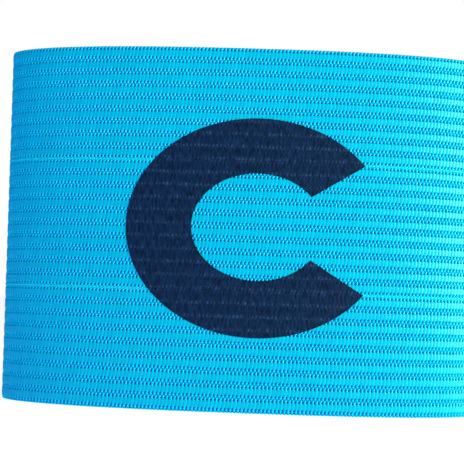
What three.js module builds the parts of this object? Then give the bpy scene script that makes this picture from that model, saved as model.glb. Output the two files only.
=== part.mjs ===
import * as THREE from 'three';

// Captain armband: a loop of wide woven elastic with a printed film letter on its front.
// It stands on its lower edge, as a cuff laid on its side, so the arm opening runs up and down.
// The front faces -Y, millimetres, +Z up, and the origin is under the middle of the part.

// The elastic strip
const BAND_WIDTH = 75; // from edge to edge, the height of the standing loop
const WALL = 1.4; // thickness over the ribs' crests
const RIBS_IN_PANELS = [9, 10, 9]; // from the lower edge to the upper
const RIB_DEPTH = 0.22; // from crest to groove, on each face
const LINE_WIDTH = 0.6; // raised line woven between two panels, at its foot
const LINE_HEIGHT = 0.2; // above the groove that it stands in

// The relaxed loop, measured over the ribs' crests
const LOOP_LENGTH = 223.6; // round the outside
const LOWER_HALF_DEPTH = 13.7; // front to back, at the lower edge
const UPPER_HALF_DEPTH = 10.9; // the loop is a little flatter at the upper edge
const OVAL_POWER = 2.3; // 2 would be an ellipse, more is squarer
const COLUMNS = 36; // facets round the loop

// The lapped seam at the back
const LAP_LENGTH = 15; // how far one end lies over the other
const LAP_RAMP = 16; // length in which a lapped end comes back to the plain wall
const CUT_SLOPE = 0.3; // the cut ends are nearly square

// The printed film, a letter C that follows an oval
const MARK_WIDTH = 54;
const MARK_HEIGHT = 45;
const MARK_STEM = 13.5; // stroke at the letter's left side
const MARK_BAR = 11.5; // stroke at its top and bottom
const MARK_OPENING = 72; // degrees left open on its right side
const FILM = 0.4; // thickness of the film with its glue
const FILM_CLEARANCE = 0.3; // between the crests and the film
const MARK_COLUMNS = 36; // facets along the stroke
const MARK_ROWS = 4; // facets across it

const RIB_COUNT = RIBS_IN_PANELS.reduce((sum, ribs) => sum + ribs, 0);
const RIB_PITCH = BAND_WIDTH / RIB_COUNT;

// The loop seen from above: a flattened oval, from the middle of the front round by +X.
class OvalLoop extends THREE.Curve {
  constructor(halfWidth, halfDepth) {
    super();
    this.halfWidth = halfWidth;
    this.halfDepth = halfDepth;
    this.arcLengthDivisions = 720;
  }

  getPoint(turn, target = new THREE.Vector2()) {
    const angle = turn * 2 * Math.PI;
    const swell = (ratio) => Math.sign(ratio) * Math.abs(ratio) ** (2 / OVAL_POWER);
    return target.set(this.halfWidth * swell(Math.sin(angle)), -this.halfDepth * swell(Math.cos(angle)));
  }
}

// Elastic keeps its length, so a loop that is less deep is wider: the half width is found by halving.
function loopOfLength(halfDepth) {
  let narrow = 0;
  let wide = LOOP_LENGTH / 2;
  for (let halving = 0; halving < 30; halving += 1) {
    const middle = (narrow + wide) / 2;
    if (new OvalLoop(middle, halfDepth).getLength() > LOOP_LENGTH) {
      wide = middle;
    } else {
      narrow = middle;
    }
  }
  return new OvalLoop(narrow, halfDepth);
}

const lowerLoop = loopOfLength(LOWER_HALF_DEPTH);
const upperLoop = loopOfLength(UPPER_HALF_DEPTH);

// A point near the wall: round is the distance round the loop from the middle of the front, height is
// above the lower edge, and out is how far it stands outside the ribs' crests.
function wallPoint(round, height, out) {
  const share = THREE.MathUtils.euclideanModulo(round / LOOP_LENGTH, 1);
  const rise = height / BAND_WIDTH;
  const place = lowerLoop.getPointAt(share).lerp(upperLoop.getPointAt(share), rise);
  const along = lowerLoop.getTangentAt(share).lerp(upperLoop.getTangentAt(share), rise).normalize();
  return new THREE.Vector3(place.x + along.y * out, place.y - along.x * out, height);
}

// How far the lap pushes the two faces outwards. Inside the lap the wall is double, and on each side
// of it the single wall eases back to its plain place.
function lapShift(fromLapMiddle) {
  const beyond = Math.abs(fromLapMiddle) - LAP_LENGTH / 2;
  if (beyond <= 0) {
    return { outer: WALL / 2, inner: -WALL / 2 };
  }
  const eased = 1 - THREE.MathUtils.smoothstep(beyond, 0, LAP_RAMP);
  const shift = (Math.sign(fromLapMiddle) * eased * WALL) / 2;
  return { outer: shift, inner: shift };
}

// Places round the loop where the strip's section stands: close together at the loop's tight ends,
// and on both sides of each cut end of the lap.
function sectionColumns() {
  const lengths = lowerLoop.getLengths(COLUMNS);
  const lapEdge = LAP_LENGTH / 2;
  const lapReach = lapEdge + LAP_RAMP;
  const lapMiddle = LOOP_LENGTH / 2;
  const plain = lengths
    .slice(0, COLUMNS)
    .map((length) => (length / lengths[COLUMNS]) * LOOP_LENGTH - lapMiddle)
    .filter((fromLapMiddle) => Math.abs(fromLapMiddle) > lapReach + LAP_RAMP / 4);
  const besideLap = [lapEdge, lapEdge + CUT_SLOPE, lapEdge + LAP_RAMP / 2, lapReach];
  const lap = [0, ...besideLap, ...besideLap.map((distance) => -distance)];
  return [...plain, ...lap]
    .sort((a, b) => a - b)
    .map((fromLapMiddle) => ({ round: lapMiddle + fromLapMiddle, shift: lapShift(fromLapMiddle) }));
}

// One face of the strip from its lower edge to its upper: a groove, a crest, a groove and so on.
// relief is below the crests. raisedLines lists the grooves that a raised line stands in.
function faceRows(raisedLines) {
  const rows = [];
  for (let groove = 0; groove <= RIB_COUNT; groove += 1) {
    const height = groove * RIB_PITCH;
    if (raisedLines.includes(groove)) {
      rows.push(
        { height: height - LINE_WIDTH / 2, relief: RIB_DEPTH },
        { height, relief: RIB_DEPTH - LINE_HEIGHT },
        { height: height + LINE_WIDTH / 2, relief: RIB_DEPTH },
      );
    } else {
      rows.push({ height, relief: RIB_DEPTH });
    }
    if (groove < RIB_COUNT) {
      rows.push({ height: height + RIB_PITCH / 2, relief: 0 });
    }
  }
  return rows;
}

// Triangles of the skin between a run of sections that all have the same number of corners.
function skinTriangles(sections, corners, closed) {
  const triangles = [];
  for (let section = 0; section < (closed ? sections : sections - 1); section += 1) {
    const here = section * corners;
    const there = ((section + 1) % sections) * corners;
    for (let corner = 0; corner < corners; corner += 1) {
      const next = (corner + 1) % corners;
      triangles.push(here + corner, there + corner, there + next);
      triangles.push(here + corner, there + next, here + next);
    }
  }
  return triangles;
}

// A cap over a section that goes out along one face and back along the other.
function capTriangles(firstCorner, corners) {
  const triangles = [];
  for (let corner = 0; corner < corners / 2 - 1; corner += 1) {
    const across = corners - 1 - corner;
    triangles.push(corner, corner + 1, across - 1, corner, across - 1, across);
  }
  return triangles.map((corner) => firstCorner + corner);
}

function solidMesh(name, points, triangles, material) {
  const geometry = new THREE.BufferGeometry().setFromPoints(points);
  geometry.setIndex(triangles);
  const mesh = new THREE.Mesh(geometry, material);
  mesh.name = name;
  return mesh;
}

// The strip's section, up the outer face and down the inner one, carried round the loop.
function elasticBand() {
  const panelsBelow = RIBS_IN_PANELS.slice(0, -1);
  const raisedLines = panelsBelow.map((ribs, panel) =>
    panelsBelow.slice(0, panel).reduce((sum, ribsBelow) => sum + ribsBelow, ribs),
  );
  const outerRows = faceRows(raisedLines);
  const innerRows = faceRows([]).reverse();
  const columns = sectionColumns();
  const points = columns.flatMap(({ round, shift }) => [
    ...outerRows.map(({ height, relief }) => wallPoint(round, height, shift.outer - relief)),
    ...innerRows.map(({ height, relief }) => wallPoint(round, height, shift.inner + relief - WALL)),
  ]);
  const triangles = skinTriangles(columns.length, outerRows.length + innerRows.length, true);
  const elastic = new THREE.MeshStandardMaterial({ color: 0x12a8dc, roughness: 0.85, flatShading: true });
  return solidMesh('elastic_band', points, triangles, elastic);
}

// The letter's film: sections across its stroke, from one side of the opening round to the other.
function captainMark() {
  const opening = THREE.MathUtils.degToRad(MARK_OPENING);
  const centring = (MARK_WIDTH / 4) * (1 - Math.cos(opening / 2)); // the opening cuts the right side short
  const sections = MARK_COLUMNS + 1;
  const corners = 2 * (MARK_ROWS + 1);
  const points = [];
  for (let section = 0; section < sections; section += 1) {
    const angle = opening / 2 + ((2 * Math.PI - opening) * section) / MARK_COLUMNS;
    for (let corner = 0; corner < corners; corner += 1) {
      const onFace = corner < corners / 2;
      const inward = (onFace ? corner : corners - 1 - corner) / MARK_ROWS;
      const round = (MARK_WIDTH / 2 - MARK_STEM * inward) * Math.cos(angle) + centring;
      const height = BAND_WIDTH / 2 + (MARK_HEIGHT / 2 - MARK_BAR * inward) * Math.sin(angle);
      points.push(wallPoint(round, height, FILM_CLEARANCE + (onFace ? FILM : 0)));
    }
  }
  const triangles = [
    ...capTriangles(0, corners),
    ...skinTriangles(sections, corners, false),
    ...capTriangles((sections - 1) * corners, corners).reverse(),
  ];
  const film = new THREE.MeshStandardMaterial({ color: 0x162f55, roughness: 0.6, flatShading: true });
  return solidMesh('captain_mark', points, triangles, film);
}

const armband = new THREE.Group();
armband.add(elasticBand(), captainMark());

// The film and the lap stand out by different amounts, so the loop moves to centre the whole part.
const middle = new THREE.Box3().setFromObject(armband).getCenter(new THREE.Vector3());
armband.position.set(-middle.x, -middle.y, 0);

export default armband;
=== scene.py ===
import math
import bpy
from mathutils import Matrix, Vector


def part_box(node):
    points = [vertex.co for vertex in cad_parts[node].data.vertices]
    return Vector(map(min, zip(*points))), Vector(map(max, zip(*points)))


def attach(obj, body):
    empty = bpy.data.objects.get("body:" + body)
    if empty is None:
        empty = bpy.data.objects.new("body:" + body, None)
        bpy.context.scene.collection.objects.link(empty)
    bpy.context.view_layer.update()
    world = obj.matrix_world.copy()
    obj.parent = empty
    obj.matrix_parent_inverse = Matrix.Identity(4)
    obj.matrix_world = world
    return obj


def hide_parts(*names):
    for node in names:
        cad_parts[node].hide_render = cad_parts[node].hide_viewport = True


bl_info = {
    "name": "Captain Armband",
    "version": (1, 0, 0),
    "blender": (4, 5, 0),
    "location": "3D View > Sidebar > Armband",
    "description": "Builds a woven elastic captain's armband thread by thread, with its studio",
    "category": "Object",
}

import bmesh
import bpy
from bpy.props import FloatProperty, FloatVectorProperty, IntProperty, PointerProperty
from mathutils import Matrix, Vector

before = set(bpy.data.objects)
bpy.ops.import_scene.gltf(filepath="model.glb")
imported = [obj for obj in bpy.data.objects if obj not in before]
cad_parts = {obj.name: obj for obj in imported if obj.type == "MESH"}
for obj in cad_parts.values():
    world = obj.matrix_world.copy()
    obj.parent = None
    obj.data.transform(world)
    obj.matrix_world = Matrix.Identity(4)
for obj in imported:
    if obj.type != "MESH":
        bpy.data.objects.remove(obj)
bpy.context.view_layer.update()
BAND_LOW, BAND_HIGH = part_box("elastic_band")

MM = 0.001
LOOP_POINTS = 720  # corners of each edge curve that the strip is wrapped round
HALVINGS = 40  # tries in which the loop's half width is found
WANDER_ALONG = 9  # mm along the strip over which rows wander to and fro
WANDER_UP = 3.2  # mm up the strip, so each rib wanders on its own
SWAY_SHARES = (1.0, 0.12, 0.3)  # of the sway along the strip, through it and up it
PRESS_FROM = 5 * MM  # the film starts this far outside the threads
CYAN_GLINT = (0.0, 0.75, 1.0, 1)  # dyed yarn glints in its own colour
KEY_COLOUR = (1.0, 0.97, 0.40)
FILL_COLOUR = (0.375, 0.468, 0.975, 1)

# Outlines across a thread, seen along it. across is a share of its width, and out goes from its foot,
# 0, to its crown, 1. A sharp corner keeps the light on the thread's back from bleeding into its face.
FLAT_OUTLINE = [
    {"across": -0.50, "out": 0, "sharp": True},
    {"across": -0.30, "out": 1, "sharp": False},
    {"across": 0.30, "out": 1, "sharp": False},
    {"across": 0.50, "out": 0, "sharp": True},
]
PEAKED_OUTLINE = [
    {"across": -0.5, "out": 0, "sharp": True},
    {"across": 0.0, "out": 1, "sharp": False},
    {"across": 0.5, "out": 0, "sharp": True},
]
ROUND_OUTLINE = [
    {
        "across": 0.5 * math.sin(math.radians(angle)),
        "out": 0.5 - 0.5 * math.cos(math.radians(angle)),
        "sharp": False,
    }
    for angle in range(0, 360, 45)
]

# Threads from one end to the other. along is a share of the thread's pitch, width a share of its own
# width, and crown and foot are mm outside the ribs' crests. A float closes up before it dives into
# the groove, and the gaps that this leaves between two floats show the ground. A crease keeps the light
# on a float's steep ends from bleeding into its flat back.
FLOAT_SECTIONS = [
    {"along": -0.540, "width": 0.58, "crown": -0.15, "foot": -0.50},
    {"along": -0.420, "width": 0.92, "crown": -0.07, "foot": -0.44},
    {"along": -0.335, "width": 0.44, "crown": -0.04, "foot": -0.36},
    {"along": -0.205, "width": 1.07, "crown": -0.01, "foot": -0.055, "crease": True},
    {"along": 0.205, "width": 1.07, "crown": -0.01, "foot": -0.055, "crease": True},
    {"along": 0.335, "width": 0.44, "crown": -0.04, "foot": -0.36},
    {"along": 0.420, "width": 0.92, "crown": -0.07, "foot": -0.44},
    {"along": 0.540, "width": 0.58, "crown": -0.15, "foot": -0.50},
]
INNER_FLOAT_SECTIONS = [
    {"along": -0.535, "width": 0.50, "crown": -0.24, "foot": -0.50},
    {"along": -0.370, "width": 0.60, "crown": -0.07, "foot": -0.40},
    {"along": 0.000, "width": 1.05, "crown": 0.00, "foot": -0.16},
    {"along": 0.370, "width": 0.60, "crown": -0.07, "foot": -0.40},
    {"along": 0.535, "width": 0.50, "crown": -0.24, "foot": -0.50},
]
LINE_SECTIONS = [
    {"along": -0.60, "width": 0.80, "crown": -0.04, "foot": -0.45},
    {"along": -0.30, "width": 1.00, "crown": 0.03, "foot": -0.40},
    {"along": 0.30, "width": 1.00, "crown": 0.03, "foot": -0.40},
    {"along": 0.60, "width": 0.80, "crown": -0.04, "foot": -0.45},
]
RIM_SECTIONS = [
    {"along": -0.55, "width": 0.30, "crown": -0.26, "foot": -1.14},
    {"along": -0.30, "width": 0.86, "crown": -0.14, "foot": -1.26},
    {"along": 0.00, "width": 1.00, "crown": -0.10, "foot": -1.30},
    {"along": 0.30, "width": 0.86, "crown": -0.14, "foot": -1.26},
    {"along": 0.55, "width": 0.30, "crown": -0.26, "foot": -1.14},
]
STITCH_SECTIONS = [
    {"along": -0.47, "width": 0.70, "crown": -0.20, "foot": -0.50},
    {"along": -0.38, "width": 1.00, "crown": 0.06, "foot": -0.30},
    {"along": 0.00, "width": 1.00, "crown": 0.12, "foot": -0.20},
    {"along": 0.38, "width": 1.00, "crown": 0.06, "foot": -0.30},
    {"along": 0.47, "width": 0.70, "crown": -0.20, "foot": -0.50},
]


def length(name, description, millimetres):
    return FloatProperty(
        name=name, description=description, default=millimetres * MM, unit="LENGTH", precision=5
    )


def number(name, description, value):
    return FloatProperty(name=name, description=description, default=value)


def count(name, description, value):
    return IntProperty(name=name, description=description, default=value, min=1)


def linear(hexadecimal):
    """Turns an sRGB hex value to the linear colour that Blender's nodes take."""
    channels = [int(hexadecimal[start : start + 2], 16) / 255 for start in (1, 3, 5)]
    return tuple(c / 12.92 if c <= 0.04045 else ((c + 0.055) / 1.055) ** 2.4 for c in channels)


def colour(name, description, hexadecimal):
    return FloatVectorProperty(
        name=name,
        description=description,
        default=linear(hexadecimal),
        subtype="COLOR",
        size=3,
        min=0,
        max=1,
    )


class ArmbandSizes(bpy.types.PropertyGroup):
    band_width: FloatProperty(
        name="Band width", description="From rim to rim", default=BAND_HIGH.z - BAND_LOW.z, unit="LENGTH"
    )
    wall: length("Wall", "Thickness over the ribs' crests", 1.4)
    loop_length: length("Loop length", "Round the outside of the relaxed loop", 223.6)
    lower_half_depth: length("Lower half depth", "Half the loop's depth at the lower rim", 13.7)
    upper_half_depth: length("Upper half depth", "Half the loop's depth at the upper rim", 10.9)
    oval_power: number("Oval power", "2 is an ellipse, more is squarer", 2.3)
    lap_length: length("Lap", "How far one end of the strip lies over the other", 15)
    lap_ramp: length("Lap ramp", "Length in which a lapped end comes back to the plain wall", 16)


class WeaveSizes(bpy.types.PropertyGroup):
    ribs: count("Ribs", "Ribs across the strip", 28)
    outer_panel_ribs: count("Outer panel ribs", "Ribs in each of the two outer panels", 9)
    stitches: count("Stitches", "Weft floats along the strip", 311)
    rim: length("Rim", "Height of the row of loops that closes each rim", 0.5)
    lower_hem: length("Lower hem", "Between the lower rim and the first float's end", 0.40)
    upper_hem: length("Upper hem", "Between the upper rim and the last float's end", 0.22)
    line: length("Line", "Height of the raised line between two panels", 0.54)
    line_lean: length("Line lean", "How far a bead of the raised line leans over its length", 0.16)
    line_room: length("Line room", "How much wider a groove with a raised line is", 0.28)
    lean: number("Lean", "Stitches that a float leans in one rib", 0.5)
    sway: length("Sway", "How far threads wander from their straight rows", 0.3)
    ground_depth: length("Ground depth", "From the floats' crowns to the ground cloth", 0.24)
    rib_depth: length("Rib depth", "From crest to groove in the ground cloth", 0.18)
    ground_columns: count("Ground columns", "Corners along the ground cloth", 130)
    unevenness: number("Unevenness", "Share by which threads differ in width", 0.07)
    seam_stitch: length("Seam stitch", "Length of one stitch in the lap's seam", 2.5)
    seam_thread: length("Seam thread", "Width of the seam's thread", 0.36)
    seam_width: length("Seam width", "Between the seam's two rows", 9)
    seam_sway: length("Seam sway", "How far the stitches wander from their rows", 0.2)


class MarkSizes(bpy.types.PropertyGroup):
    width: length("Width", "Of the oval that the letter follows", 54)
    height: length("Height", "Of the letter", 45)
    stem: length("Stem", "Stroke at the letter's left side", 13.5)
    bar: length("Bar", "Stroke at its top and bottom", 11.5)
    opening: FloatProperty(
        name="Opening", description="Left open on its right side", default=math.radians(72), subtype="ANGLE"
    )
    film: length("Film", "Thickness over the threads", 0.08)
    bridge: length("Bridge", "How far the film sinks into gaps between the threads", 0.2)
    stiffness: length("Stiffness", "How far round a thread the film stays up", 0.1)
    glue: length("Glue", "How deep the glue reaches under the crests", 0.5)
    steps_round: count("Steps round", "Faces along the stroke", 700)
    steps_across: count("Steps across", "Faces across the stroke", 66)


class ArmbandColours(bpy.types.PropertyGroup):
    yarn: colour("Yarn", "Weft floats where they spread over a rib", "#00B6EC")
    # The close yarn is paler than the yarn: a painted highlight on a float's closing ends.
    yarn_close: colour("Close yarn", "Weft floats where they close up before a groove", "#00CFFF")
    # The deep yarn is a little darker and bluer than the yarn: painted shade where a float dives into a
    # groove.
    yarn_deep: colour("Deep yarn", "Weft floats where they dive into a groove", "#00B2F3")
    ground: colour("Ground", "Covered rubber and warp seen between the floats", "#007CFA")
    line: colour("Line", "Raised line between two panels", "#00D8FF")
    film: colour("Film", "Pressed letter film", "#0E264C")
    # The film glint colour is a painted highlight, put in specks on the small ridges where a thread closes
    # up under the film.
    film_worn: colour("Film glint", "Painted highlight in specks where a thread closes up under the film", "#284470")
    thread: colour("Thread", "Seam thread", "#0FB4E4")


def add_node(tree, kind, inputs=(), **settings):
    """Adds one node with its settings. inputs maps a socket to a value, a node or a node's output."""
    node = tree.nodes.new(kind)
    for name, value in settings.items():
        setattr(node, name, value)
    for key, value in dict(inputs).items():
        if isinstance(value, bpy.types.Node):
            value = next(output for output in value.outputs if output.enabled)
        if isinstance(value, bpy.types.NodeSocket):
            tree.links.new(value, node.inputs[key])
        else:
            node.inputs[key].default_value = value
    return node


def maths(tree, operation, *values):
    """Adds a maths node whose sockets take the given values in order."""
    return add_node(tree, "ShaderNodeMath", enumerate(values), operation=operation)


def vectors(tree, operation, *values):
    """Adds a vector maths node. SCALE takes a vector and a factor."""
    keys = (0, "Scale") if operation == "SCALE" else (0, 1)
    return add_node(tree, "ShaderNodeVectorMath", zip(keys, values), operation=operation)


def named(tree, name):
    """Reads a number that the geometry carries under a name."""
    return add_node(tree, "GeometryNodeInputNamedAttribute", {"Name": name}, data_type="FLOAT").outputs[0]


def carried(tree, name):
    """Reads the same number in a material."""
    return add_node(tree, "ShaderNodeAttribute", attribute_name=name).outputs["Fac"]


def store(tree, geometry, name, value, kind="FLOAT"):
    """Keeps a value on the geometry under a name."""
    inputs = {"Geometry": geometry, "Name": name, "Value": value}
    return add_node(tree, "GeometryNodeStoreNamedAttribute", inputs, data_type=kind)


def mapped(tree, value, onto, span=(0.0, 1.0)):
    """Maps the span of a value onto another range and holds it inside."""
    limits = zip(("From Min", "From Max", "To Min", "To Max"), (*span, *onto))
    return add_node(tree, "ShaderNodeMapRange", {"Value": value, **dict(limits)})


def noise(tree, place, detail):
    inputs = {"Vector": place, "Scale": 1.0, "Detail": detail}
    return add_node(tree, "ShaderNodeTexNoise", inputs).outputs


def new_tree(name, inputs):
    """A geometry tree whose sockets are named in inputs, with their defaults, and its input sockets."""
    tree = bpy.data.node_groups.new(name, "GeometryNodeTree")
    kinds = {float: "NodeSocketFloat", int: "NodeSocketInt", tuple: "NodeSocketVector"}
    for socket_name, default in inputs.items():
        kind = kinds.get(type(default)) or f"NodeSocket{default}"
        socket = tree.interface.new_socket(name=socket_name, in_out="INPUT", socket_type=kind)
        if type(default) in kinds:
            socket.default_value = default
    tree.interface.new_socket(name="Geometry", in_out="OUTPUT", socket_type="NodeSocketGeometry")
    return tree, tree.nodes.new("NodeGroupInput").outputs


def shared_tree(build, *given):
    """The tree that a function builds, built only the first time that it is asked for."""
    name = build.__name__.replace("_", " ").capitalize()
    return bpy.data.node_groups.get(name) or build(name, *given)


def oval_points(half_width, half_depth, power):
    """A flattened oval seen from above, from the middle of the front round by +X."""
    points = []
    for step in range(LOOP_POINTS):
        angle = 2 * math.pi * step / LOOP_POINTS
        across, deep = (
            math.copysign(abs(ratio) ** (2 / power), ratio) for ratio in (math.sin(angle), math.cos(angle))
        )
        points.append(Vector((half_width * across, -half_depth * deep, 0)))
    return points


def half_width_for(loop_length, half_depth, power):
    """Elastic keeps its length, so a loop that is less deep is wider: found by halving."""
    narrow, wide = 0.0, loop_length / 2
    for _ in range(HALVINGS):
        middle = (narrow + wide) / 2
        points = oval_points(middle, half_depth, power)
        around = sum((b - a).length for a, b in zip(points, points[1:] + points[:1]))
        narrow, wide = (narrow, middle) if around > loop_length else (middle, wide)
    return narrow


def edge_loops(sizes):
    """A curve object with two closed splines, the loop's lower rim and its upper rim."""
    known = bpy.data.objects.get("edge_loops")
    if known:
        return known
    curve = bpy.data.curves.new("edge_loops", "CURVE")
    curve.dimensions = "3D"
    for half_depth in (sizes.lower_half_depth, sizes.upper_half_depth):
        half_width = half_width_for(sizes.loop_length, half_depth, sizes.oval_power)
        spline = curve.splines.new("POLY")
        spline.points.add(LOOP_POINTS - 1)
        spline.use_cyclic_u = True
        for corner, point in zip(spline.points, oval_points(half_width, half_depth, sizes.oval_power)):
            corner.co = (*point, 1)
    loops = bpy.data.objects.new("edge_loops", curve)
    bpy.context.scene.collection.objects.link(loops)
    return loops


def centre_shift(sizes, weave):
    """How far the loop's middle lies from the origin, read from the frame at the lowest rib's crest."""
    rise = 0.5 / weave.ribs
    half_depth = sizes.lower_half_depth + (sizes.upper_half_depth - sizes.lower_half_depth) * rise
    return BAND_HIGH.y - half_depth - sizes.wall / 2


def wrap_round_loop(name, sizes, weave):
    """Wraps the flat strip round the loop.

    Flat, X runs along the strip from the middle of its front, Z up its width, and -Y out of its face."""
    tree, given = new_tree(
        name,
        {
            "Geometry": "Geometry",
            "Edge Loops": "Object",
            "Loop Length": sizes.loop_length,
            "Band Width": sizes.band_width,
            "Wall": sizes.wall,
            "Lap Length": sizes.lap_length,
            "Lap Ramp": sizes.lap_ramp,
            "Centre Shift": centre_shift(sizes, weave),
        },
    )
    flat = add_node(tree, "GeometryNodeInputPosition")
    place = add_node(tree, "ShaderNodeSeparateXYZ", {0: flat}).outputs
    loops = add_node(tree, "GeometryNodeObjectInfo", {"Object": given["Edge Loops"]}).outputs["Geometry"]
    turns = maths(tree, "DIVIDE", place["X"], given["Loop Length"])
    share = maths(tree, "FRACT", turns)
    rise = maths(tree, "DIVIDE", place["Z"], given["Band Width"])
    lower, upper = (
        add_node(
            tree, "GeometryNodeSampleCurve", {"Curves": loops, "Factor": share, "Curve Index": index}
        ).outputs
        for index in (0, 1)
    )
    middle, along = (
        add_node(
            tree,
            "ShaderNodeMix",
            {0: rise, 4: lower[what], 5: upper[what]},
            data_type="VECTOR",
            clamp_factor=False,
        )
        for what in ("Position", "Tangent")
    )
    outward = vectors(tree, "CROSS_PRODUCT", along, (0, 0, 1))
    outward = vectors(tree, "NORMALIZE", outward)
    # The strip's first end lies outside and its last end inside, each by half the wall.
    plain = maths(tree, "SUBTRACT", given["Loop Length"], given["Lap Length"])
    lap_start = maths(tree, "MULTIPLY", plain, 0.5)
    ramp_start = maths(tree, "SUBTRACT", lap_start, given["Lap Ramp"])
    from_front = maths(tree, "ABSOLUTE", place["X"])
    eased = add_node(
        tree,
        "ShaderNodeMapRange",
        {"Value": from_front, "From Min": ramp_start, "From Max": lap_start, "To Min": 0.0, "To Max": -0.5},
        interpolation_type="SMOOTHSTEP",
    )
    side = maths(tree, "SIGN", place["X"])
    signed = maths(tree, "MULTIPLY", eased, side)
    shift = maths(tree, "MULTIPLY", signed, given["Wall"])
    distance = maths(tree, "SUBTRACT", shift, place["Y"])
    stood_out = vectors(tree, "SCALE", outward, distance)
    lift = add_node(tree, "ShaderNodeCombineXYZ", {"Y": given["Centre Shift"], "Z": place["Z"]})
    on_wall = vectors(tree, "ADD", middle, stood_out)
    standing = vectors(tree, "ADD", on_wall, lift)
    stored = store(tree, given["Geometry"], "strip_place", flat, "FLOAT_VECTOR")
    wrapped = add_node(tree, "GeometryNodeSetPosition", {"Geometry": stored, "Position": standing})
    add_node(tree, "NodeGroupOutput", {"Geometry": wrapped})
    return tree


def float_row_pitch(sizes, weave):
    """Height of one rib, once the rims and the two raised lines have their room."""
    return (sizes.band_width - weave.lower_hem - weave.upper_hem - 2 * weave.line_room) / weave.ribs


def strip_length(sizes):
    return sizes.loop_length + sizes.lap_length


def lay_threads(name, sizes, weave):
    """Rows of like threads laid flat on a grid. By its defaults it lays the outer face's floats."""
    stitch = strip_length(sizes) / weave.stitches
    pitch = float_row_pitch(sizes, weave)
    tree, given = new_tree(
        name,
        {
            "Thread": "Object",
            "Columns": weave.stitches,
            "Rows": weave.ribs,
            "First Kept Row": 0,
            "Kept Rows": weave.ribs,
            "Column Spacing": stitch,
            "Row Spacing": pitch,
            "First Column": (stitch - strip_length(sizes)) / 2,
            "First Row": weave.lower_hem + pitch / 2,
            "Panel Rows": weave.outer_panel_ribs,
            "Panel Room": weave.line_room,
            "Depth": 0.0,
            "Facing": 0.0,
            "Unevenness": weave.unevenness,
            "Sway": weave.sway,
            "Seed": 0,
        },
    )
    total = maths(tree, "MULTIPLY", given["Columns"], given["Rows"])
    index = add_node(tree, "GeometryNodeInputIndex")
    column = maths(tree, "MODULO", index, given["Columns"])
    split = maths(tree, "DIVIDE", index, given["Columns"])
    row = maths(tree, "FLOOR", split)
    across = maths(tree, "MULTIPLY_ADD", column, given["Column Spacing"], given["First Column"])
    # Each line between two panels lifts the rows above it by its room.
    counted = maths(tree, "ADD", row, 0.5)
    last_panel = maths(tree, "SUBTRACT", given["Rows"], given["Panel Rows"])
    over_first = maths(tree, "GREATER_THAN", counted, given["Panel Rows"])
    over_last = maths(tree, "GREATER_THAN", counted, last_panel)
    lines = maths(tree, "ADD", over_first, over_last)
    lifted = maths(tree, "MULTIPLY_ADD", lines, given["Panel Room"], given["First Row"])
    height = maths(tree, "MULTIPLY_ADD", row, given["Row Spacing"], lifted)
    place = add_node(tree, "ShaderNodeCombineXYZ", {"X": across, "Y": given["Depth"], "Z": height})
    laid = add_node(tree, "GeometryNodePoints", {"Count": total, "Position": place})
    # What is random is drawn for every place, so a thread is the same in each piece that shows it.
    for random_name, step in (("tone", 1.0), ("swell", 2.0)):
        seed = maths(tree, "ADD", given["Seed"], step)
        drawn = add_node(tree, "FunctionNodeRandomValue", {"Seed": seed}, data_type="FLOAT").outputs[1]
        laid = store(tree, laid, random_name, drawn)
    end_row = maths(tree, "ADD", given["First Kept Row"], given["Kept Rows"])
    below = maths(tree, "LESS_THAN", counted, given["First Kept Row"])
    above = maths(tree, "GREATER_THAN", counted, end_row)
    outside = maths(tree, "ADD", below, above)
    kept = add_node(tree, "GeometryNodeDeleteGeometry", {"Geometry": laid, "Selection": outside})
    thread = add_node(tree, "GeometryNodeObjectInfo", {"Object": given["Thread"], "As Instance": True})
    turned = add_node(tree, "ShaderNodeCombineXYZ", {"Z": given["Facing"]})
    less = maths(tree, "SUBTRACT", 1.0, given["Unevenness"])
    more = maths(tree, "ADD", 1.0, given["Unevenness"])
    wide = mapped(tree, named(tree, "swell"), (less, more))
    size = add_node(tree, "ShaderNodeCombineXYZ", {"X": wide, "Y": 1.0, "Z": 1.0})
    threads = add_node(
        tree,
        "GeometryNodeInstanceOnPoints",
        {"Points": kept, "Instance": thread.outputs["Geometry"], "Rotation": turned, "Scale": size},
    )
    real = add_node(tree, "GeometryNodeRealizeInstances", {0: threads})
    # Rows wander along the strip over about a centimetre and from one rib to the next.
    flat = add_node(tree, "GeometryNodeInputPosition")
    wander_scale = (1 / (WANDER_ALONG * MM), 0.0, 1 / (WANDER_UP * MM))
    wander_place = vectors(tree, "MULTIPLY", flat, wander_scale)
    wander = noise(tree, wander_place, 1.0)["Color"]
    centred = vectors(tree, "SUBTRACT", wander, (0.5, 0.5, 0.5))
    swayed = vectors(tree, "SCALE", centred, given["Sway"])
    offset = vectors(tree, "MULTIPLY", swayed, SWAY_SHARES)
    moved = add_node(tree, "GeometryNodeSetPosition", {"Geometry": real, "Offset": offset})
    add_node(tree, "NodeGroupOutput", {"Geometry": moved})
    return tree


def finish_tree(tree, given, wrap, flat):
    """Wraps flat geometry, realizes it and gives it its material."""
    wrapped = add_node(
        tree, "GeometryNodeGroup", {"Geometry": flat, "Edge Loops": given["Edge Loops"]}, node_tree=wrap
    )
    real = add_node(tree, "GeometryNodeRealizeInstances", {0: wrapped})
    smooth = add_node(tree, "GeometryNodeSetShadeSmooth", {"Geometry": real})
    dyed = {"Geometry": smooth, "Material": given["Material"]}
    add_node(tree, "NodeGroupOutput", {"Geometry": add_node(tree, "GeometryNodeSetMaterial", dyed)})
    return tree


def wrap_thread_rows(name, laid, wrap):
    """Laid threads wrapped round the loop, with all of their inputs."""
    passed_on = {item.name: item for item in laid.interface.items_tree if item.in_out == "INPUT"}
    inputs = {key: "Object" if key == "Thread" else item.default_value for key, item in passed_on.items()}
    tree, given = new_tree(name, {**inputs, "Edge Loops": "Object", "Material": "Material"})
    flat = add_node(tree, "GeometryNodeGroup", {key: given[key] for key in inputs}, node_tree=laid)
    return finish_tree(tree, given, wrap, flat)


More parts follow.
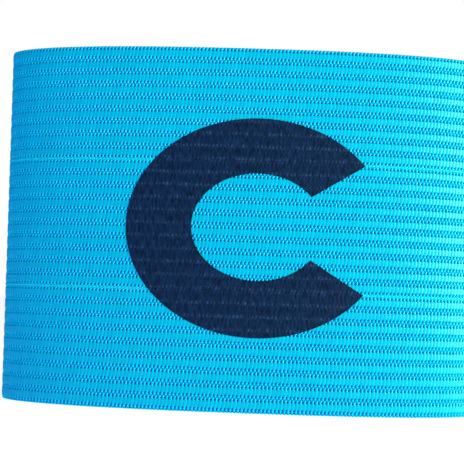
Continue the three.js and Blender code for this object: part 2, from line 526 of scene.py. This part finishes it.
def weave_ground_cloth(name, sizes, weave, wrap):
    """The cloth under the floats: a long flat block whose two faces are ribbed, then wrapped."""
    tree, given = new_tree(
        name,
        {
            "Edge Loops": "Object",
            "Strip Length": strip_length(sizes),
            "Band Width": sizes.band_width,
            "Wall": sizes.wall,
            "Ground Depth": weave.ground_depth,
            "Rib Depth": weave.rib_depth,
            "Rib Pitch": sizes.band_width / weave.ribs,
            "Hem": weave.rim / 2,
            "Columns": weave.ground_columns,
            "Rows": 2 * weave.ribs + 1,
            "Material": "Material",
        },
    )
    hems = maths(tree, "MULTIPLY", given["Hem"], 2.0)
    tall = maths(tree, "SUBTRACT", given["Band Width"], hems)
    size = add_node(tree, "ShaderNodeCombineXYZ", {"X": given["Strip Length"], "Y": 1.0, "Z": tall})
    block = add_node(
        tree,
        "GeometryNodeMeshCube",
        {"Size": size, "Vertices X": given["Columns"], "Vertices Y": 2, "Vertices Z": given["Rows"]},
    )
    flat = add_node(tree, "GeometryNodeInputPosition")
    place = add_node(tree, "ShaderNodeSeparateXYZ", {0: flat}).outputs
    height = maths(tree, "MULTIPLY_ADD", given["Band Width"], 0.5, place["Z"])
    ribs_up = maths(tree, "DIVIDE", height, given["Rib Pitch"])
    turn = maths(tree, "MULTIPLY", ribs_up, 2 * math.pi)
    wave = maths(tree, "COSINE", turn)
    grooved = maths(tree, "MULTIPLY_ADD", wave, 0.5, 0.5)
    below = maths(tree, "MULTIPLY_ADD", grooved, given["Rib Depth"], given["Ground Depth"])
    half_wall = maths(tree, "MULTIPLY", given["Wall"], 0.5)
    thick = maths(tree, "SUBTRACT", half_wall, below)
    face = maths(tree, "SIGN", place["Y"])
    deep = maths(tree, "MULTIPLY_ADD", face, thick, half_wall)
    ribbed = add_node(tree, "ShaderNodeCombineXYZ", {"X": place["X"], "Y": deep, "Z": height})
    moved = {"Geometry": block.outputs["Mesh"], "Position": ribbed}
    return finish_tree(tree, given, wrap, add_node(tree, "GeometryNodeSetPosition", moved))


def press_film(name, mark, laid, wrap, line_inputs):
    """Presses a flat film onto the flat floats and lines, so that it takes their relief, and wraps it."""
    tree, given = new_tree(
        name,
        {
            "Geometry": "Geometry",
            "Thread": "Object",
            "Line Bead": "Object",
            "Edge Loops": "Object",
            "Film": mark.film,
            "Bridge": mark.bridge,
            "Stiffness": mark.stiffness,
            "Glue": mark.glue,
            "Material": "Material",
        },
    )
    floats = add_node(tree, "GeometryNodeGroup", {"Thread": given["Thread"]}, node_tree=laid)
    beads = {"Thread": given["Line Bead"], **line_inputs}
    lines = add_node(tree, "GeometryNodeGroup", beads, node_tree=laid)
    threads = add_node(tree, "GeometryNodeJoinGeometry")
    for rows in (floats, lines):
        tree.links.new(rows.outputs[0], threads.inputs[0])
    flat = add_node(tree, "GeometryNodeInputPosition")
    place = add_node(tree, "ShaderNodeSeparateXYZ", {0: flat}).outputs
    above = add_node(tree, "ShaderNodeCombineXYZ", {"X": place["X"], "Y": -PRESS_FROM, "Z": place["Z"]})
    # The film rests on the highest thread within its own stiffness, so each point is pressed five times.
    bridged = given["Bridge"]
    presses = []
    for aside, up in ((0, 0), (1, 0), (-1, 0), (0, 1), (0, -1)):
        stiff = vectors(tree, "SCALE", (aside, 0, up), given["Stiffness"])
        source = vectors(tree, "ADD", above, stiff)
        ray = {
            "Target Geometry": threads,
            "Attribute": named(tree, "along"),
            "Source Position": source,
            "Ray Direction": (0.0, 1.0, 0.0),
            "Ray Length": 2 * PRESS_FROM,
        }
        press = add_node(tree, "GeometryNodeRaycast", ray).outputs
        met = add_node(tree, "ShaderNodeSeparateXYZ", {0: press["Hit Position"]}).outputs["Y"]
        sunk = add_node(
            tree, "GeometryNodeSwitch", {0: press["Is Hit"], 1: given["Bridge"], 2: met}, input_type="FLOAT"
        )
        bridged = maths(tree, "MINIMUM", sunk, bridged)
        presses.append(press)
    eased = add_node(
        tree, "GeometryNodeBlurAttribute", {0: bridged, "Iterations": 1, "Weight": 0.5}, data_type="FLOAT"
    )
    surface = maths(tree, "SUBTRACT", eased, given["Film"])
    sides = {0: named(tree, "on_face"), 2: given["Glue"], 3: surface}
    depth = add_node(tree, "ShaderNodeMix", sides, data_type="FLOAT")
    marked = store(tree, given["Geometry"], "thread_under", presses[0]["Attribute"])
    pressed = add_node(tree, "ShaderNodeCombineXYZ", {"X": place["X"], "Y": depth, "Z": place["Z"]})
    film = add_node(tree, "GeometryNodeSetPosition", {"Geometry": marked, "Position": pressed})
    return finish_tree(tree, given, wrap, film)


def make_piece(name, tree, values, mesh=None):
    """Runs a tree on a new object, keeps its result as a plain mesh and puts it on the object."""
    piece = bpy.data.objects.new(name, mesh or bpy.data.meshes.new(name))
    bpy.context.scene.collection.objects.link(piece)
    modifier = piece.modifiers.new(tree.name, "NODES")
    modifier.node_group = tree
    for item in tree.interface.items_tree:
        if item.in_out == "INPUT" and item.name in values:
            modifier[item.identifier] = values[item.name]
    seen = piece.evaluated_get(bpy.context.evaluated_depsgraph_get())
    made = bpy.data.meshes.new_from_object(seen)
    made.name = name
    piece.modifiers.remove(modifier)
    piece.data = made
    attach(piece, "root")
    return piece


def thread_object(name, sections, outline, pitch, width, lean=0.0, upright=True):
    """A short closed thread, which is copied along the rows.

    It lies along Z if it is upright and along X if not, and stands out towards -Y. lean is how far it
    moves sideways over its pitch."""
    mesh = bpy.data.meshes.new(name)
    work = bmesh.new()
    along_thread = work.verts.layers.float.new("along")
    rings = []
    for section in sections:
        along = section["along"] * pitch
        ring = []
        for corner in outline:
            across = corner["across"] * section["width"] * width + section["along"] * lean
            out = (section["foot"] + corner["out"] * (section["crown"] - section["foot"])) * MM
            vertex = work.verts.new((across, -out, along) if upright else (along, -out, across))
            vertex[along_thread] = section["along"]
            ring.append(vertex)
        rings.append(ring)
    for ring, after in zip(rings, rings[1:]):
        for number in range(len(ring)):
            beside = (number + 1) % len(ring)
            work.faces.new((ring[number], ring[beside], after[beside], after[number]))
    work.faces.new(rings[0])
    work.faces.new(rings[-1])
    for ring, after in zip(rings, rings[1:]):
        for corner, start, end in zip(outline, ring, after):
            work.edges.get((start, end)).smooth = not corner["sharp"]
    for ring, section in zip(rings, sections):
        for number, vertex in enumerate(ring):
            work.edges.get((vertex, ring[number - 1])).smooth = not section.get("crease", False)
    bmesh.ops.recalc_face_normals(work, faces=work.faces)
    work.to_mesh(mesh)
    work.free()
    return bpy.data.objects.new(name, mesh)


def letter_film(sizes, mark):
    """The letter as a flat closed film: a fine face to be pressed, and a plain glued side."""
    steps_round, steps_across = mark.steps_round, mark.steps_across
    # The opening cuts the letter's right side short, so the oval moves to the right by half of that.
    centring = mark.width / 4 * (1 - math.cos(mark.opening / 2))
    mesh = bpy.data.meshes.new("captain_film")
    work = bmesh.new()
    on_face = work.verts.layers.float.new("on_face")

    def corner(step, inward, side):
        angle = mark.opening / 2 + (2 * math.pi - mark.opening) * step / steps_round
        x = (mark.width / 2 - mark.stem * inward) * math.cos(angle) + centring
        z = sizes.band_width / 2 + (mark.height / 2 - mark.bar * inward) * math.sin(angle)
        vertex = work.verts.new((x, 0, z))
        vertex[on_face] = side
        return vertex

    steps = range(steps_round + 1)
    face = [[corner(step, a / steps_across, 1.0) for a in range(steps_across + 1)] for step in steps]
    glued = [(corner(step, 0.0, 0.0), corner(step, 1.0, 0.0)) for step in steps]
    for row, after, under, under_after in zip(face, face[1:], glued, glued[1:]):
        for a in range(steps_across):
            work.faces.new((row[a], row[a + 1], after[a + 1], after[a]))
        work.faces.new((under[1], under[0], under_after[0], under_after[1]))
        work.faces.new((under[0], row[0], after[0], under_after[0]))
        work.faces.new((row[-1], under[1], under_after[1], after[-1]))
    work.faces.new((*face[0][::-1], *glued[0]))
    work.faces.new((*face[-1], *glued[-1][::-1]))
    work.to_mesh(mesh)
    work.free()
    return mesh


def shared_material(finish, *given):
    """The material of a finish, made only the first time that it is asked for."""
    name = finish.__name__.replace("_", " ")
    known = bpy.data.materials.get(name)
    if known:
        return known
    material = bpy.data.materials.new(name)
    material.use_nodes = True
    tree = material.node_tree
    finish(tree, tree.nodes["Principled BSDF"], *given)
    return material


def strip_pattern(tree, *steps):
    """The place on the flat strip, along it, through it and up it, counted in steps of the given mm."""
    place = add_node(tree, "ShaderNodeAttribute", attribute_name="strip_place").outputs["Vector"]
    scale = [1 / (step * MM) for step in steps]
    return add_node(tree, "ShaderNodeMapping", {"Vector": place, "Scale": scale})


def grain(tree, detail, *steps):
    """Noise whose grains have the given mm along the strip, through it and up it."""
    return noise(tree, strip_pattern(tree, *steps), detail)[0]


def dress(tree, shader, dye, values):
    """Gives a finish its colour and its uniform values."""
    tree.links.new(dye.outputs[0], shader.inputs["Base Color"])
    for name, value in values.items():
        shader.inputs[name].default_value = value


def textured_polyester_yarn(tree, shader, colours):
    """Bulked polyester yarn, woven: matt and saturated, with a painted highlight where a float closes up
    beside a gap and painted shade where it dives into a groove.
    """
    from_crown = maths(tree, "ABSOLUTE", carried(tree, "along"))
    ramp = add_node(tree, "ShaderNodeValToRGB", {0: maths(tree, "MULTIPLY", from_crown, 2.0)})
    first, last = ramp.color_ramp.elements
    first.color = (*colours.yarn, 1)
    # The last stop is painted shade in the groove.
    last.color = (*colours.yarn_deep, 1)
    # The close stops paint a highlight where a float closes up beside a gap.
    stops = ((0.45, colours.yarn), (0.72, colours.yarn_close), (0.84, colours.yarn_close))
    for position, shade in stops:
        ramp.color_ramp.elements.new(position).color = (*shade, 1)
    # Filaments are 0.02 mm thick, too fine to show, so they are drawn 0.13 mm apart.
    filaments = grain(tree, 2.0, 0.13, 0.13, 1.6)
    both = maths(tree, "ADD", carried(tree, "tone"), filaments)
    dye = vectors(tree, "SCALE", ramp, mapped(tree, both, (0.91, 1.09), span=(0.0, 2.0)))
    relief = {"Strength": 0.15, "Distance": 0.04 * MM, "Height": filaments}
    bump = add_node(tree, "ShaderNodeBump", relief)
    tree.links.new(bump.outputs[0], shader.inputs["Normal"])
    values = {
        "Roughness": 0.45,
        "Specular IOR Level": 0.35,
        "Specular Tint": CYAN_GLINT,
        "Coat Weight": 0.16,
        "Coat Roughness": 0.2,
    }
    dress(tree, shader, dye, values)


def covered_rubber_and_warp(tree, shader, colours):
    """Warp threads and covered rubber under the floats: darker, dull and close."""
    fibres = grain(tree, 2.0, 0.3, 0.3, 0.3)
    dye = vectors(tree, "SCALE", tuple(colours.ground), mapped(tree, fibres, (0.75, 1.0)))
    dress(tree, shader, dye, {"Roughness": 0.9, "Specular IOR Level": 0.1})


def lustrous_line_yarn(tree, shader, colours):
    """Trilobal polyester in the raised lines: the same blue, brighter and a little glossy."""
    value = mapped(tree, carried(tree, "tone"), (0.85, 1.0))
    dye = vectors(tree, "SCALE", tuple(colours.line), value)
    values = {
        "Roughness": 0.45,
        "Specular IOR Level": 0.3,
        "Specular Tint": CYAN_GLINT,
        "Coat Weight": 0.3,
        "Coat Roughness": 0.25,
    }
    dress(tree, shader, dye, values)


def spun_seam_thread(tree, shader, colours):
    """Spun polyester sewing thread, twisted: fine slanting light and dark plies."""
    slant = {"Vector": strip_pattern(tree, 0.5, 0.5, 0.5), "Rotation": (0, 0.7, 0)}
    twist = {"Vector": add_node(tree, "ShaderNodeMapping", slant), "Scale": 0.5}
    plies = add_node(tree, "ShaderNodeTexWave", twist, bands_direction="Z").outputs["Fac"]
    dye = vectors(tree, "SCALE", tuple(colours.thread), mapped(tree, plies, (0.75, 1.1)))
    dress(tree, shader, dye, {"Roughness": 0.6, "Specular IOR Level": 0.3})


def heat_pressed_film(tree, shader, colours):
    """Heat-pressed polyurethane film: satin navy, with a painted highlight in paler specks where a thread
    closes up under it.
    """
    closes_at, speck, faded = 0.345, 0.04, 0.14  # shares of a thread's pitch, below its crown
    # The paler specks are a painted highlight: the film's glint where a thread closes up under it, kept to
    # random patches.
    from_closed = maths(tree, "ABSOLUTE", maths(tree, "ADD", carried(tree, "thread_under"), closes_at))
    closed = mapped(tree, from_closed, (1.0, 0.0), span=(speck, faded))
    patches = mapped(tree, grain(tree, 3.0, 1.2, 1.2, 1.3), (0.1, 1.0), span=(0.42, 0.62))
    glint_share = maths(tree, "MULTIPLY", closed, patches)
    shades = {0: glint_share, 6: (*colours.film, 1), 7: (*colours.film_worn, 1)}
    shade = add_node(tree, "ShaderNodeMix", shades, data_type="RGBA").outputs[2]
    # Threads show through the film as fine upright streaks.
    streaks = mapped(tree, grain(tree, 1.0, 0.42, 0.42, 1.8), (0.55, 1.45), span=(0.3, 0.7))
    dye = vectors(tree, "SCALE", shade, streaks)
    dress(tree, shader, dye, {"Roughness": 0.5, "Specular IOR Level": 0.04})


class ARMBAND_OT_stage(bpy.types.Operator):
    """Camera, soft studio light and a white floor"""

    bl_idname = "armband.stage"
    bl_label = "Stage"

    def execute(self, context):
        scene = context.scene
        scene.view_settings.view_transform = "Standard"
        self.add_camera(scene)
        self.add_world(scene)
        self.add_light(scene, "key", azimuth=64, elevation=9, distance=0.6, size=0.3, power=5.5)
        self.add_light(scene, "kicker", azimuth=106, elevation=5, distance=0.6, size=0.3, power=2.2)
        self.add_floor(scene)
        return {"FINISHED"}

    @staticmethod
    def add_camera(scene):
        camera_data = bpy.data.cameras.new("camera")
        camera_data.sensor_width = 36.0
        camera_data.lens = 66.77
        camera_data.clip_start = 0.01
        camera = bpy.data.objects.new("camera", camera_data)
        yaw, pitch, roll = -0.0201, 0.0720, 0.0343  # radians, the photograph's angle
        ahead = Vector((math.sin(yaw) * math.cos(pitch), math.cos(yaw) * math.cos(pitch), math.sin(pitch)))
        level = Vector((math.cos(yaw), -math.sin(yaw), 0))
        upright = level.cross(ahead)
        right = math.cos(roll) * level + math.sin(roll) * upright
        up = -math.sin(roll) * level + math.cos(roll) * upright
        turn = Matrix((right, up, -ahead)).transposed().to_4x4()
        camera.matrix_world = Matrix.Translation((0.96 * MM, -187.1 * MM, 23.7 * MM)) @ turn
        scene.collection.objects.link(camera)
        scene.camera = camera

    @staticmethod
    def add_world(scene):
        """Soft fill from all round, and a plain white backdrop where the camera looks past the floor."""
        world = bpy.data.worlds.new("white studio")
        world.use_nodes = True
        scene.world = world
        tree = world.node_tree
        fill = tree.nodes["Background"]
        fill.inputs["Color"].default_value = FILL_COLOUR
        fill.inputs["Strength"].default_value = 0.535
        world.cycles_visibility.glossy = False
        backdrop = add_node(tree, "ShaderNodeBackground", {"Color": (1, 1, 1, 1), "Strength": 1.0})
        ray = add_node(tree, "ShaderNodeLightPath").outputs["Is Camera Ray"]
        choice = add_node(tree, "ShaderNodeMixShader", {0: ray, 1: fill, 2: backdrop})
        tree.links.new(choice.outputs[0], tree.nodes["World Output"].inputs["Surface"])

    @staticmethod
    def add_light(scene, name, azimuth, elevation, distance, size, power):
        """A square soft light that aims at the band's middle. Azimuth 0 is in front, 90 at its right."""
        light_data = bpy.data.lights.new(name, "AREA")
        light_data.size = size
        light_data.energy = power
        light_data.color = KEY_COLOUR
        light = bpy.data.objects.new(name, light_data)
        turn, lift = math.radians(azimuth), math.radians(elevation)
        away = Vector((math.sin(turn) * math.cos(lift), -math.cos(turn) * math.cos(lift), math.sin(lift)))
        middle = Vector((0, 0, (BAND_LOW.z + BAND_HIGH.z) / 2))
        aim = (-away).to_track_quat("-Z", "Y").to_matrix().to_4x4()
        light.matrix_world = Matrix.Translation(middle + distance * away) @ aim
        scene.collection.objects.link(light)

    @staticmethod
    def add_floor(scene):
        mesh = bpy.data.meshes.new("floor")
        half = 2.0  # metres
        corners = [(x * half, y * half, 0) for x, y in ((-1, -1), (1, -1), (1, 1), (-1, 1))]
        mesh.from_pydata(corners, [], [(0, 1, 2, 3)])
        floor = bpy.data.objects.new("floor", mesh)
        white = bpy.data.materials.new("matt white acrylic")
        white.use_nodes = True
        shader = white.node_tree.nodes["Principled BSDF"]
        shader.inputs["Base Color"].default_value = (0.5, 0.5, 0.5, 1)
        shader.inputs["Roughness"].default_value = 0.9
        shader.inputs["Emission Color"].default_value = (1, 1, 1, 1)
        shader.inputs["Emission Strength"].default_value = 0.8
        mesh.materials.append(white)
        floor.visible_glossy = False
        scene.collection.objects.link(floor)


class ARMBAND_OT_ground(bpy.types.Operator):
    """Ground cloth of the elastic, one strip with its ends lapped"""

    bl_idname = "armband.ground"
    bl_label = "Ground cloth"

    def execute(self, context):
        scene = context.scene
        sizes, weave = scene.armband_sizes, scene.armband_weave
        wrap = shared_tree(wrap_round_loop, sizes, weave)
        material = shared_material(covered_rubber_and_warp, scene.armband_colours)
        values = {"Edge Loops": edge_loops(sizes), "Material": material}
        tree = shared_tree(weave_ground_cloth, sizes, weave, wrap)
        piece = make_piece("ground_cloth", tree, values)
        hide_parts("elastic_band")
        return {"FINISHED"}


def add_threads(scene, name, thread, finish, values):
    """One piece of threads in rows."""
    sizes, weave = scene.armband_sizes, scene.armband_weave
    laid = shared_tree(lay_threads, sizes, weave)
    tree = shared_tree(wrap_thread_rows, laid, shared_tree(wrap_round_loop, sizes, weave))
    material = shared_material(finish, scene.armband_colours)
    common = {"Thread": thread, "Edge Loops": edge_loops(sizes), "Material": material}
    piece = make_piece(name, tree, {**common, **values})
    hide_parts("elastic_band")
    return piece


def line_rows(sizes, weave):
    """Inputs that lay the two raised lines, one in each groove between two panels."""
    pitch = float_row_pitch(sizes, weave)
    middle_ribs = weave.ribs - 2 * weave.outer_panel_ribs
    return {
        "Rows": 2,
        "Kept Rows": 2,
        "Row Spacing": middle_ribs * pitch + weave.line_room,
        "First Row": weave.lower_hem + weave.outer_panel_ribs * pitch + weave.line_room / 2,
        "Panel Room": 0.0,
    }


def line_bead(sizes, weave):
    stitch = strip_length(sizes) / weave.stitches
    return thread_object(
        "line_bead", LINE_SECTIONS, FLAT_OUTLINE, stitch, weave.line, weave.line_lean, upright=False
    )


def float_object(scene, name, sections, outline):
    sizes, weave = scene.armband_sizes, scene.armband_weave
    stitch = strip_length(sizes) / weave.stitches
    return thread_object(
        name, sections, outline, float_row_pitch(sizes, weave), stitch, weave.lean * stitch
    )


class ARMBAND_OT_weave(bpy.types.Operator):
    """Weft floats over every rib, on both faces, panel by panel"""

    bl_idname = "armband.weave"
    bl_label = "Weave"

    def execute(self, context):
        scene = context.scene
        sizes, weave = scene.armband_sizes, scene.armband_weave
        middle_ribs = weave.ribs - 2 * weave.outer_panel_ribs
        panels = {
            "lower": (0, weave.outer_panel_ribs),
            "middle": (weave.outer_panel_ribs, middle_ribs),
            "upper": (weave.outer_panel_ribs + middle_ribs, weave.outer_panel_ribs),
        }
        outer_thread = float_object(scene, "outer_float", FLOAT_SECTIONS, FLAT_OUTLINE)
        inner_thread = float_object(scene, "inner_float", INNER_FLOAT_SECTIONS, PEAKED_OUTLINE)
        faces = {
            "outer": (outer_thread, {"Depth": 0.0, "Facing": 0.0, "Seed": 0}),
            "inner": (inner_thread, {"Depth": sizes.wall, "Facing": math.pi, "Seed": 10}),
        }
        for face, (thread, place) in faces.items():
            for panel, (first_row, rows) in panels.items():
                values = {"First Kept Row": first_row, "Kept Rows": rows, **place}
                add_threads(scene, f"{face}_weave_{panel}", thread, textured_polyester_yarn, values)
            bpy.data.objects.remove(thread)
        return {"FINISHED"}


class ARMBAND_OT_edges(bpy.types.Operator):
    """Raised lines between the panels, and the row of loops along each rim"""

    bl_idname = "armband.edges"
    bl_label = "Lines and rims"

    def execute(self, context):
        scene = context.scene
        sizes, weave = scene.armband_sizes, scene.armband_weave
        stitch = strip_length(sizes) / weave.stitches
        bead = line_bead(sizes, weave)
        add_threads(scene, "raised_lines", bead, lustrous_line_yarn, line_rows(sizes, weave))
        loop = thread_object("rim_loop", RIM_SECTIONS, ROUND_OUTLINE, stitch, weave.rim, upright=False)
        rims = {
            "Rows": 2,
            "Kept Rows": 2,
            "Row Spacing": sizes.band_width - weave.rim,
            "First Row": weave.rim / 2,
            "Panel Room": 0.0,
            "Sway": 0.0,
        }
        add_threads(scene, "rim_loops", loop, textured_polyester_yarn, rims)
        for thread in (bead, loop):
            bpy.data.objects.remove(thread)
        return {"FINISHED"}


class ARMBAND_OT_seam(bpy.types.Operator):
    """Two rows of stitches through the lap at the back"""

    bl_idname = "armband.seam"
    bl_label = "Lap seam"

    def execute(self, context):
        scene = context.scene
        sizes, weave = scene.armband_sizes, scene.armband_weave
        thread = thread_object(
            "seam_stitch", STITCH_SECTIONS, ROUND_OUTLINE, weave.seam_stitch, weave.seam_thread
        )
        rows = round(sizes.band_width / weave.seam_stitch)
        seam = {
            "Columns": 2,
            "Rows": rows,
            "Kept Rows": rows,
            "Column Spacing": weave.seam_width,
            "Row Spacing": sizes.band_width / rows,
            "First Row": sizes.band_width / rows / 2,
            "Panel Room": 0.0,
            "Sway": weave.seam_sway,
        }
        ends = {
            "outer": (-sizes.loop_length / 2, 0.0, 0.0),
            "inner": (sizes.loop_length / 2, sizes.wall, math.pi),
        }
        for face, (middle, depth, facing) in ends.items():
            place = {"First Column": middle - weave.seam_width / 2, "Depth": depth, "Facing": facing}
            add_threads(scene, f"{face}_seam_stitches", thread, spun_seam_thread, {**seam, **place})
        bpy.data.objects.remove(thread)
        return {"FINISHED"}


class ARMBAND_OT_mark(bpy.types.Operator):
    """Letter film pressed on the front, following the threads under it"""

    bl_idname = "armband.mark"
    bl_label = "Captain mark"

    def execute(self, context):
        scene = context.scene
        sizes, weave, mark = scene.armband_sizes, scene.armband_weave, scene.armband_mark
        wrap = shared_tree(wrap_round_loop, sizes, weave)
        laid = shared_tree(lay_threads, sizes, weave)
        tree = shared_tree(press_film, mark, laid, wrap, line_rows(sizes, weave))
        thread = float_object(scene, "outer_float", FLOAT_SECTIONS, FLAT_OUTLINE)
        bead = line_bead(sizes, weave)
        values = {
            "Thread": thread,
            "Line Bead": bead,
            "Edge Loops": edge_loops(sizes),
            "Material": shared_material(heat_pressed_film, scene.armband_colours),
        }
        piece = make_piece("captain_film", tree, values, letter_film(sizes, mark))
        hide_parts("captain_mark")
        for pressed_on in (thread, bead):
            bpy.data.objects.remove(pressed_on)
        return {"FINISHED"}


class ARMBAND_PT_panel(bpy.types.Panel):
    """Lists the armband's pieces"""

    bl_label = "Armband"
    bl_space_type = "VIEW_3D"
    bl_region_type = "UI"
    bl_category = "Armband"

    def draw(self, context):
        for operator in OPERATORS:
            self.layout.operator(operator.bl_idname)


GROUPS = {
    "armband_sizes": ArmbandSizes,
    "armband_weave": WeaveSizes,
    "armband_mark": MarkSizes,
    "armband_colours": ArmbandColours,
}
OPERATORS = (
    ARMBAND_OT_stage,
    ARMBAND_OT_ground,
    ARMBAND_OT_weave,
    ARMBAND_OT_edges,
    ARMBAND_OT_seam,
    ARMBAND_OT_mark,
)


def register():
    for cls in (*GROUPS.values(), *OPERATORS, ARMBAND_PT_panel):
        bpy.utils.register_class(cls)
    for name, group in GROUPS.items():
        setattr(bpy.types.Scene, name, PointerProperty(type=group))


def unregister():
    for name in GROUPS:
        delattr(bpy.types.Scene, name)
    for cls in reversed((*GROUPS.values(), *OPERATORS, ARMBAND_PT_panel)):
        bpy.utils.unregister_class(cls)


def main():
    register()
    bpy.ops.armband.stage()
    bpy.ops.armband.ground()
    bpy.ops.armband.weave()
    bpy.ops.armband.edges()
    bpy.ops.armband.seam()
    bpy.ops.armband.mark()
    bpy.data.objects.remove(bpy.data.objects["edge_loops"])


if __name__ == "__main__":
    main()
